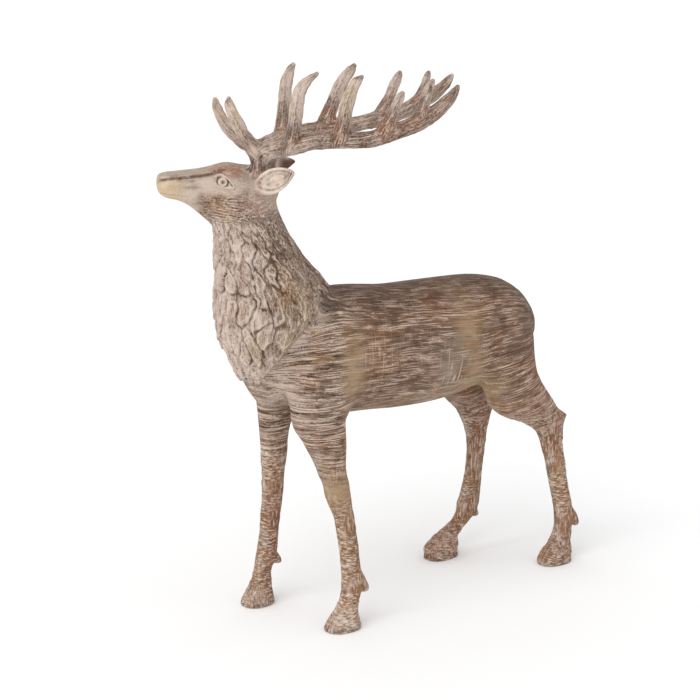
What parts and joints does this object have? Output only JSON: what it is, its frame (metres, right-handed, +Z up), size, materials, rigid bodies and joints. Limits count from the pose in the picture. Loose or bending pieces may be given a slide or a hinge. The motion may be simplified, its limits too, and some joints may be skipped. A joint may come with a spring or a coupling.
{
  "type": "deer figurine",
  "caption": "Standing stag figurine with a carved-look maned neck, turned head and swept-back branching antlers, on four feet.",
  "frame": {"origin": "on the ground, under the middle of the figurine's bounding box", "axes": "+Z up, the body faces -Y, the figurine's left side is +X"},
  "size_m": [0.1588, 0.3993, 0.4651],
  "materials": {
    "whitewashed_resin": "matte, brown paint under a worn pale wash"
  },
  "bodies": {
    "root": {"deer": "whitewashed_resin"}
  },
  "joints": []
}
